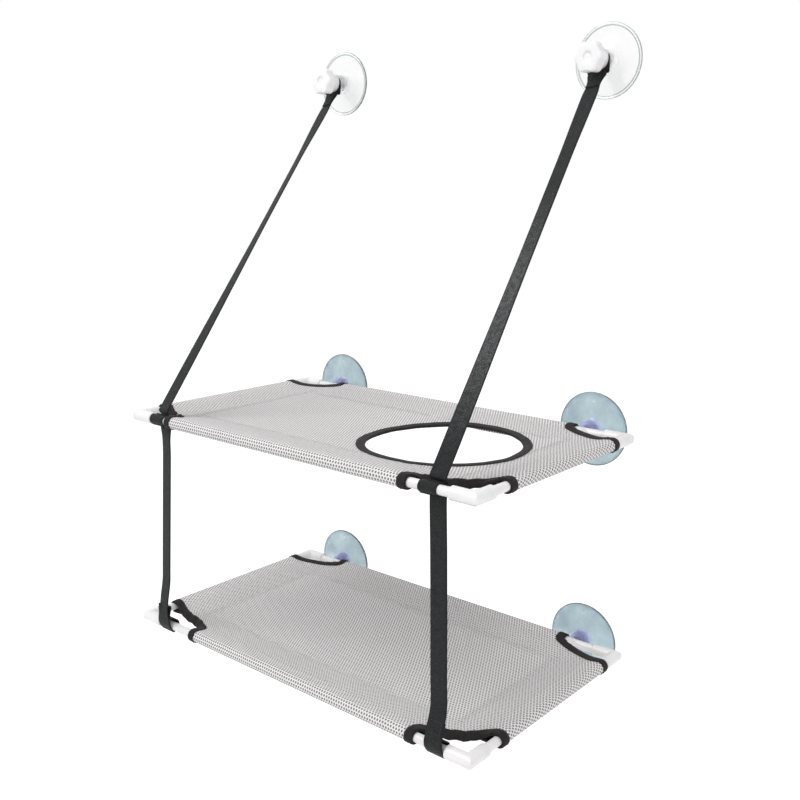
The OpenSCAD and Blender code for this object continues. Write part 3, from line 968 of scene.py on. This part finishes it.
strap = {
    "wide": 0.020,
    "thick": 0.0013,
    "slantX": {"left": -0.2075, "right": 0.2035},   # the upper straps' feet, across the upper front pipe
    "dropX": {"left": (-0.2075, -0.2080), "right": (0.2019, 0.2107)},    # the drop straps' top and foot
    # out of and above the lower front pipe's axis, on the way down
    "dropLine": {"left": ((0.0062, 0.213), (0.0016, 0.129), (-0.0022, 0.060), (-0.0066, 0.034), (-0.0086, 0.012)),
                 "right": ((0.0056, 0.200), (0.0045, 0.130), (0.0030, 0.070), (0.0016, 0.036), (-0.0070, 0.011))},
    "dropTwist": {"left": -11.0, "right": 0.0},
    "upperTwist": {"left": (-23.0, -8.0, 0.36, 0.55), "right": (-16.5, 0.0, 0.45, 0.45)},  # degrees, then where
    "rollX": {"left": -0.2095, "right": 0.1975},
    "rollWide": {"left": 0.0240, "right": 0.0222},
    "rollThick": 0.0009,
    "patch": (0.0076, 0.0300),    # the doubled end below a knob
    "eyelet": (0.0131, 0.015, 0.0034),   # half width, drop and eye radius
    "eyeletTop": 0.62,
    "stitch": 0.0026,
    "pitch": 0.0036,
    "thread": 0.0003,
}


def webbingSection(wide, thick):
    w, h, edge = wide / 2, thick / 2, 0.0007
    side = [(w - edge, h), (w - edge * 0.3, h * 0.8), (w, 0.0), (w - edge * 0.3, -h * 0.8), (w - edge, -h)]
    face = [w - edge - (2 * w - 2 * edge) * k / 6 for k in range(1, 6)]
    return (side + [(x, -h) for x in face] + [(-x, y) for x, y in reversed(side)] + [(-x, h) for x in face])


# A smooth curve through the points, in steps of about one length. A long run stays straight in its middle.
def curveThrough(given, step=0.003, bend=0.012):
    points = []
    for a, b in pairwise([Vector(p) for p in given]):
        points.append(a)
        share = bend / (b - a).length
        if share < 0.3:
            points += [a.lerp(b, share), a.lerp(b, 1 - share)]
    points.append(Vector(given[-1]))
    runs = [b - a for a, b in pairwise(points)]
    ways = [(a.normalized() / a.length + b.normalized() / b.length).normalized() for a, b in pairwise(runs)]
    ways = [runs[0].normalized(), *ways, runs[-1].normalized()]
    made = []
    for i, run in enumerate(runs):
        count = max(1, round(run.length / step))
        for t in (k / count for k in range(count)):
            bow = ways[i] * (t ** 3 - 2 * t * t + t) + ways[i + 1] * (t ** 3 - t * t)
            made.append(points[i].lerp(points[i + 1], 3 * t * t - 2 * t ** 3) + bow * run.length)
    return made + [points[-1]]


# Stations of a strap that lies across X: shape gives its width factor and its twist in degrees
def strapStations(path, shape=None):
    stations = []
    for i, (point, length) in enumerate(zip(path, lengthsOf(path))):
        run = runAt(path, i)
        across = (Vector((1, 0, 0)) - run * run.x).normalized()
        out = across.cross(run).normalized()
        wide, turn = shape(point, length) if shape else (1.0, 0.0)
        c, s = math.cos(math.radians(turn)), math.sin(math.radians(turn))
        stations.append((point, across * c + out * s, out * c - across * s, wide))
    return stations


# Webbing swept along its lines of stations and joined to its end part (a roll or an eyelet), with a box
# of stitches on the front face of the sewn stretch
def makeWebbing(name, lines, end, sewn, wide):
    parts = [sweep(line, webbingSection(strap["wide"], strap["thick"])) for line in lines]
    piece = newPiece(name, finish["webbing"], *joined([*parts, end]))
    inside, lift = wide / 2 - 0.0028, strap["thick"] / 2
    front = [(point, across, -out, 1.0) for point, across, out, w in sewn]
    box = []
    for over in (-inside, inside):
        box += stitchesAlong(front, over, lift, strap)
    for point, across, out, w in (front[0], front[-1]):
        row = [(point + across * (m * inside), across, out, 1.0) for m in (-1, -0.5, 0, 0.5, 1)]
        box += stitchesAlong(row, 0.0, lift, strap)
    thread = newPiece(name + "_stitches", finish["blackThread"], *joined(box))
    return piece, thread


# A turn of webbing rolled tight round the upper front pipe, its end lapped underneath
def rollParts(side):
    centre = Vector((strap["rollX"][side], frontY, tierZ["upper"]))
    thick, path = strap["rollThick"], []
    for k, (c, s) in enumerate(arcOf(math.radians(-95), math.radians(-375), 70)):
        r = tubeR + 0.0001 + thick * (0.5 + 1.02 * smooth01((k - 61) / 7))
        path.append(centre + Vector((0, r * c, r * s)))
    return sweep(strapStations(path), webbingSection(strap["rollWide"][side], thick))


# A drop strap: a roll round the upper front pipe, then down behind it to a sewn loop round the lower one
def makeDropStrap(side):
    topX, footX = strap["dropX"][side]
    high = Vector((topX, frontY, tierZ["upper"]))
    low = Vector((footX, frontY, tierZ["lower"]))
    thick = strap["thick"]
    r = tubeR + strap["rollThick"] + thick / 2 + 0.0001

    def at(y, z):
        x = low.x + (high.x - low.x) * max(0.0, min(1.0, z / (high.z - low.z)))
        return Vector((x, low.y + y, low.z + z))

    down = [high + Vector((0, r, -0.003)), high + Vector((0, r * 0.98, -0.018))]
    down += [at(y, z) for y, z in (*strap["dropLine"][side], (-0.0066, 0.0), (-0.0023, -0.0066))]
    front = [high + Vector((0, r * c, r * s)) for c, s in arcOf(math.radians(76), math.radians(-72), 8)]
    front += curveThrough(down)
    lap = [p + Vector((0, thick * 1.06, 0)) for p in reversed(front) if 0.012 < p.z - low.z < 0.030]
    turn = [at(y, z) for y, z in ((0.0036, -0.0050), (0.0062, 0.0), (0.0048, 0.0062), (-0.0002, 0.0095))]
    path = front + curveThrough([front[-1], *turn, lap[0]], 0.0012)[1:] + lap[1:]

    def shape(point, length):
        z = point.z - low.z
        wider = 0.04 * smooth01((0.03 - z) / 0.01)
        if point.y < low.y - 0.002:
            wider = 0.13 * smooth01((0.014 - z) / 0.007)
        twist = strap["dropTwist"][side] * smooth01((high.z - 0.006 - point.z) / 0.02)
        return 1 + wider, twist * smooth01((z - 0.010) / 0.016)

    stations = strapStations(path, shape)
    sewn = [s for s in stations[:len(front)] if 0.014 < s[0].z - low.z < 0.029]
    piece, thread = makeWebbing(side + "_drop_strap", [stations], rollParts(side), sewn, strap["wide"])
    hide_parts("lower_strap_" + side)
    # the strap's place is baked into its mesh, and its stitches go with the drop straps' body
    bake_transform(piece)
    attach(thread, "drop_straps")


# The flat end of an upper strap, with the eye that the stud passes through
def eyeletParts(centre, down, across, out):
    half, drop, eye = strap["eyelet"]
    outer, inner = [], []
    for x, y in fullTurn(56):
        inner.append((eye * x, eye * y))
        reach = min(half / max(abs(x), 1e-6), drop / abs(y)) if y < 0 else half
        outer.append((reach * x, reach * y * (1 if y < 0 else strap["eyeletTop"])))
    points, places = [], []
    for ring, level in ((inner, 0.5), (outer, 0.5), (outer, -0.5), (inner, -0.5)):
        points += [centre + across * x - down * y + out * (strap["thick"] * level) for x, y in ring]
        places += [(x, y, 0.0) for x, y in ring]
    rings = ringsOf(4, len(inner))
    return points, facesBetween([*rings, rings[0]]), places


def makeUpperStrap(side):
    thick = strap["thick"]
    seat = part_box(f"top_{side}_knob")[1].y    # the face that the eyelet lies against
    top = Vector((sides[side] * topCupX, seat + thick * 0.75, topZ))
    foot = Vector((strap["slantX"][side], frontY, tierZ["upper"]))
    lean = Vector((foot.x - top.x, 0, foot.z - top.z)).normalized()
    last = foot + Vector((0, 0.0034, 0.0104))
    bend = top + lean * 0.0145
    first = bend + (last - bend).normalized() * 0.0040
    under = ((0.0052, 0.0075), (0.0078, 0.0024), (0.0080, -0.0020), (0.0077, -0.0070))
    path = curveThrough([top + lean * 0.0060, top + lean * 0.0112, first], 0.001)
    path += curveThrough([first, last])[1:]
    path += curveThrough([last, *(foot + Vector((0, y, z)) for y, z in under)], 0.0012)[1:]
    lengths = lengthsOf(path)

    # gathered below the eyelet, wider at its patch, and twisted on the way down
    def shape(point, length):
        t = length / lengths[-1]
        factor = 1 - 0.28 * (1 - smooth01(length / 0.008))
        factor += 0.20 * math.exp(-((length - 0.0112) / 0.0045) ** 2)
        factor -= 0.14 * math.exp(-((length - 0.0240) / 0.0060) ** 2)
        factor -= 0.06 * math.exp(-((length - 0.0170) / 0.0012) ** 2)
        most, least, begin, over = strap["upperTwist"][side]
        turn = least + (most - least) * (1 - smooth01((t - begin) / over))
        return factor, turn * (0.55 + 0.45 * smooth01((t - 0.08) / 0.16)) * smooth01(length / 0.010)

    stations = strapStations(path, shape)
    inward = Vector((0, -1, 0))
    low, high = strap["patch"]
    patch = [(point - out * (thick * 1.03), across, out, factor - 0.04)
             for length, (point, across, out, factor) in zip(lengths, stations) if low <= length <= high]
    eyelet = eyeletParts(top, lean, lean.cross(inward).normalized(), inward)
    piece, thread = makeWebbing(side + "_upper_strap", [stations, patch], eyelet, patch[2:-2], strap["wide"] * 0.86)
    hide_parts("upper_strap_" + side)
    for one in (piece, thread):
        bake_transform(one)


for side in sides:
    makeDropStrap(side)
    makeUpperStrap(side)
print("straps laid")


# Suction cups, turned about an axis that comes out of the glass

cup = {
    "bead": 0.0015,
    "skirt": 0.0022,
    "root": 0.0050,
    "hubR": 0.010,
    "fillet": 0.005,
    "edge": 0.0015,
    "hollow": 0.0024,
    "seal": 0.008,
    "boreR": 0.00305,
    "boreDeep": 0.006,
    "boreEdge": 0.0006,
    "pipAt": 0.032,
    "pipR": 0.0016,
    "pipFoot": 0.0024,
    "pipHigh": 0.0021,
    "pipAround": 16,
    "around": 112,
}


# A cup's outline as (radius, height), from the middle of its back round to the middle of its hub
def cupProfile(radius, top):
    bead, skirt, root, fillet, edge, hollow, seal = (
        cup[k] for k in ("bead", "skirt", "root", "fillet", "edge", "hollow", "seal"))
    hubR, boreR, boreDeep, boreEdge = (cup[k] for k in ("hubR", "boreR", "boreDeep", "boreEdge"))
    rim = radius - bead
    flat, foot = rim - 0.003, hubR + fillet
    line = [(0.0, hollow), (rim * 0.3, hollow * 0.93), (rim * 0.6, hollow * 0.55), (rim - seal, 0.00025),
            (rim - seal * 0.5, 0.0), (rim, 0.0)]
    line += [(rim + bead * c, bead * (1 + s)) for c, s in arcOf(-quarter, math.pi, 9, 1)]
    line += [(rim - 0.0008, bead * 1.86), (rim - 0.0017, skirt * 1.02), (flat, skirt)]
    line += [(flat + (foot - rim + 0.003) * t, skirt + (root - skirt) * (0.55 * t + 0.45 * t * t))
             for t in (k / 12 for k in range(1, 13))]
    line += [(foot - fillet * s, root + fillet * (1 - c)) for c, s in arcOf(0.0, quarter, 8, 1)]
    line += [(hubR * 0.995, (root + fillet + top - edge) / 2)]
    line += [(hubR - edge * (1 - c), top - edge * (1 - s)) for c, s in arcOf(0.0, quarter, 5)]
    return line + [(boreR + boreEdge, top), (boreR, top - boreEdge), (boreR, top - boreDeep), (0.0, top - boreDeep)]


# The little pull pip on a cup's upper rim
def pipParts(centre):
    at, r, foot, high, around = (cup[k] for k in ("pipAt", "pipR", "pipFoot", "pipHigh", "pipAround"))
    points, faces, places = turnedParts(centre, [
        [(r * c * cb, r * 1.25 * c * sb + at, foot + high * s) for cb, sb in fullTurn(around)]
        for c, s in arcOf(0.0, quarter, 6)])
    return points, faces + [tuple(reversed(range(around)))], places


def makeCup(where, side, centre, material, pip):
    size = sizeOf(f"{where}_{side}_cup")
    parts = [turnedParts(centre, [[(r * c, r * s, h) for c, s in fullTurn(cup["around"] if r else 1)]
                                  for r, h in cupProfile(size.x / 2, size.y)])]
    if pip:
        parts.append(pipParts(centre))
    piece = newPiece(f"{where}_{side}_suction_cup", material, *joined(parts))
    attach(piece, "window_side")
    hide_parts(f"{where}_{side}_cup")


for side, sign in sides.items():
    for tier in tiers:
        makeCup(tier, side, Vector((sign * cupX, 0, tierZ[tier])), finish["tintedVinyl"], True)
    makeCup("top", side, Vector((sign * topCupX, 0, topZ)), finish["clearVinyl"], False)
print("suction cups turned")


# Top knobs with six lobes

knob = {
    "radius": 0.0165,
    "lobe": 0.0055,
    "lobes": 6,
    "core": 0.0145,
    "neckR": 0.0125,
    "neckH": 0.009,
    "headH": 0.014,
    "edge": 0.0026,
    "soft": 0.0016,
    "dimpleR": 0.0062,
    "dimple": 0.0011,
    "boreR": 0.00305,
    "bore": 0.0140,
    "turn": 0.26,
    "around": 144,
}


def knobOutline(a):
    reach = knob["radius"] - knob["lobe"]
    turn = math.pi / knob["lobes"]
    a = (a + turn) % (2 * turn) - turn
    lobe = reach * math.cos(a) + math.sqrt(max(0.0, knob["lobe"] ** 2 - (reach * math.sin(a)) ** 2))
    soft, core = knob["soft"], knob["core"]
    h = max(soft - abs(lobe - core), 0.0) / soft
    return max(lobe, core) + h * h * soft / 4


# A knob's rings as (kind, value, height): round ones have a radius, lobed ones a distance in from the
# outline, and the blends from one to the other a share
def knobRows():
    neckR, neck, edge, dimple, boreR = (knob[k] for k in ("neckR", "neckH", "edge", "dimple", "boreR"))
    top, under = neck + knob["headH"], edge * 0.7
    rows = [("round", r, h) for r, h in (
        (0.0, knob["bore"]), (boreR, knob["bore"]), (boreR, 0.0005), (0.0036, 0.0), (neckR - 0.0006, 0.0),
        (neckR, 0.0006), (neckR, neck - 0.0012))]
    rows += [("neck", t, neck - 0.0012 + 0.0014 * t) for t in (k / 5 for k in range(6))]
    rows += [("lobed", under * (1 - s), neck + 0.0002 + under * (1 - c)) for c, s in arcOf(0.0, quarter, 7, 1)]
    rows.append(("lobed", -0.0001, neck + knob["headH"] * 0.5))
    rows += [("lobed", edge * (1 - c), top - edge * (1 - s)) for c, s in arcOf(0.0, quarter, 8)]
    rows += [("face", t, top + 0.0002 * math.sin(math.pi * t)) for t in (k / 5 for k in range(1, 6))]
    rows += [("round", knob["dimpleR"] - 0.0011 * s, top - dimple * (1 - c)) for c, s in arcOf(0.0, quarter, 4, 1)]
    return rows + [("round", 0.003, top - dimple), ("round", 0.0, top - dimple)]


def makeKnob(side):
    node = f"top_{side}_knob"
    centre = Vector((sides[side] * topCupX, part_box(node)[1].y, topZ))
    edge, around = knob["edge"], knob["around"]
    rings = []
    for kind, value, h in knobRows():
        rings.append([])
        for k in range(around if kind != "round" or value else 1):
            a = 2 * math.pi * k / around + knob["turn"]
            outline = knobOutline(a)
            r = {"round": value, "lobed": outline - value,
                 "neck": knob["neckR"] * (1 - value) + (outline - edge * 0.7) * value,
                 "face": (outline - edge) * (1 - value) + knob["dimpleR"] * value}[kind]
            rings[-1].append((r * math.cos(a), r * math.sin(a), h))
    points, faces, places = turnedParts(centre, rings)
    piece = newPiece(f"top_{side}_lobed_knob", finish["knobPlastic"], points, faces)
    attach(piece, node)
    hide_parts(node)


for side in sides:
    makeKnob(side)
print("knobs made")


# The frame's own nodes keep their shape and take a finish

def dress(node, material):
    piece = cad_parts[node]
    if not piece.material_slots:
        piece.data.materials.append(material)
    for one in piece.material_slots:
        one.link = "OBJECT"
        one.material = material


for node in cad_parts:
    if node.endswith("_tube") or "_elbow_" in node:
        dress(node, finish["pipePlastic"])
    elif node.endswith("_nut"):
        dress(node, finish["knobPlastic"])
    elif node.endswith("_stud"):
        dress(node, finish["platedSteel"])
print("frame nodes finished")


# Floor, light and background

studio = {
    "floorZ": -0.30,
    "floorSize": 12.0,
    "floor": {"dark": (0.86, 0.86, 0.86, 1), "light": (0.88, 0.88, 0.88, 1), "glow": 0.45},
    "sky": 0.67,
    "aim": (0, -0.15, 0.3),
    "lamps": {"key": ((-1.0, -1.5, 2.3), 33.5, 1.6), "fill": ((2.2, -1.2, 1.0), 14.0, 1.8)},  # place, power, size
}


# 1 for what the camera sees, directly or in a gloss or through glass
def seenRays(tree):
    light = addNode(tree, "ShaderNodeLightPath")
    mirrored = calc("MAXIMUM", light["Is Glossy Ray"], light["Is Transmission Ray"])
    return calc("MAXIMUM", light["Is Camera Ray"], mirrored)


def floorLook(tree, p):
    return {
        "Base Color": blendColours(noiseOf(objectPlace(tree), 3.0), p["dark"], p["light"]),
        "Roughness": 0.9,
        "Emission Color": (1, 1, 1, 1),
        "Emission Strength": seenRays(tree) * p["glow"],
    }


def makeFloor():
    half = studio["floorSize"] / 2
    points = [(x * half, y * half, studio["floorZ"]) for x, y in ((-1, -1), (1, -1), (1, 1), (-1, 1))]
    newPiece("floor", makeFinish("paleFloor", floorLook, studio["floor"]), points, [(0, 1, 2, 3)])


def makeWorld():
    world = bpy.data.worlds.new("studio")
    bpy.context.scene.world = world
    world.use_nodes = True
    tree = world.node_tree
    feed(tree, tree.nodes["Background"], {
        "Color": (1, 1, 1, 1), "Strength": rampOf(seenRays(tree), studio["sky"], 1.0)})


def makeLamp(name, place, power, size):
    data = bpy.data.lights.new(name, "AREA")
    data.energy = power
    data.shape = "SQUARE"
    data.size = size
    lamp = bpy.data.objects.new(name, data)
    bpy.context.scene.collection.objects.link(lamp)
    lamp.location = place
    lamp.rotation_euler = (Vector(place) - Vector(studio["aim"])).to_track_quat("Z", "Y").to_euler()


makeFloor()
makeWorld()
for name, lamp in studio["lamps"].items():
    makeLamp(name, *lamp)
bpy.context.scene.view_settings.view_transform = "Standard"
print("studio lit")
